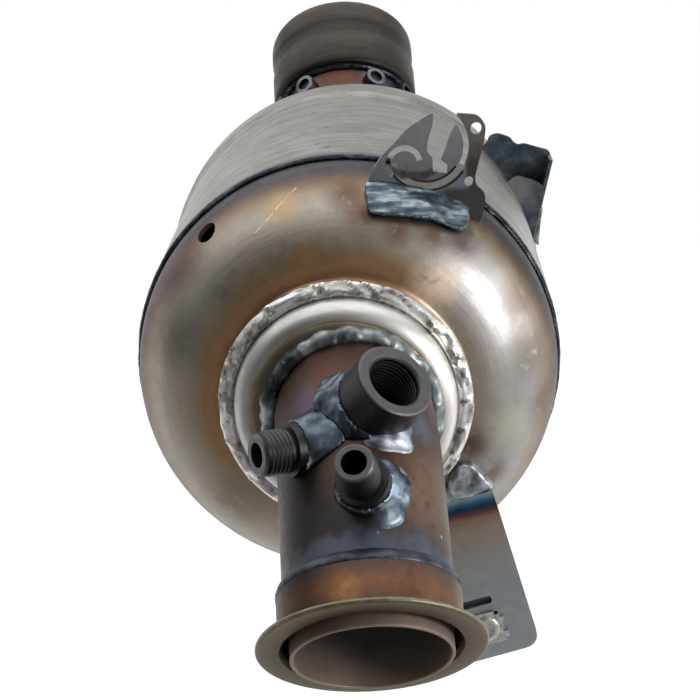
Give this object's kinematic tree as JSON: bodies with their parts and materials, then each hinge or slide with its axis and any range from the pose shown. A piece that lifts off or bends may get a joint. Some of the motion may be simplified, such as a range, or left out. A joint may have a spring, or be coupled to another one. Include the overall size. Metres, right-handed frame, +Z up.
{
  "type": "diesel particulate filter",
  "caption": "Welded steel exhaust filter can with domed ends, a sloping inlet socket, a bent lined outlet with sensor ports, and mounting brackets.",
  "frame": {"origin": "centre of the inlet socket's mouth", "axes": "+Y along the can from the outlet end towards the inlet end, +Z up, +X to the right seen from the outlet end"},
  "size_m": [0.1626, 0.4348, 0.2069],
  "materials": {
    "can_steel": "satin",
    "dome_steel": "satin, heat tinted",
    "cone_steel": "satin",
    "foil": "bright, crinkled",
    "pipe_steel": "satin, heat tinted",
    "flange_steel": "satin, heat tinted",
    "liner_steel": "satin, heat tinted",
    "port_steel": "satin",
    "weld_bead": "rippled",
    "clip_steel": "satin",
    "side_steel": "satin",
    "plate_steel": "satin, heat tinted near the weld",
    "nut_zinc": "bright",
    "inlet_steel": "satin, heat tinted",
    "collar_steel": "dull",
    "brick": "matt",
    "mat": "matt",
    "seal": "matt"
  },
  "bodies": {
    "root": {"can_shell": "can_steel", "filter_brick": "brick", "support_mat": "mat", "outlet_mat_seal": "seal", "inlet_mat_seal": "seal", "outlet_dome": "dome_steel", "outlet_rim_weld": "weld_bead", "outlet_foil": "foil", "outlet_cone": "cone_steel", "neck_weld": "weld_bead", "outlet_elbow": "pipe_steel", "seam_weld": "weld_bead", "outlet_flange": "flange_steel", "outlet_liner": "liner_steel", "sensor_boss": "port_steel", "sensor_boss_weld": "weld_bead", "pressure_union": "port_steel", "pressure_union_weld": "weld_bead", "pressure_stub": "port_steel", "pressure_stub_weld": "weld_bead", "clip_bracket": "clip_steel", "clip_bracket_weld": "weld_bead", "side_bracket": "side_steel", "side_bracket_weld": "weld_bead", "support_plate": "plate_steel", "support_plate_weld": "weld_bead", "cage_nut": "nut_zinc", "inlet_dome": "can_steel", "inlet_cone": "cone_steel", "inlet_rim_weld": "weld_bead", "inlet_neck": "inlet_steel", "inlet_neck_weld": "weld_bead", "inlet_collar": "collar_steel", "inlet_collar_weld": "weld_bead"}
  },
  "joints": []
}
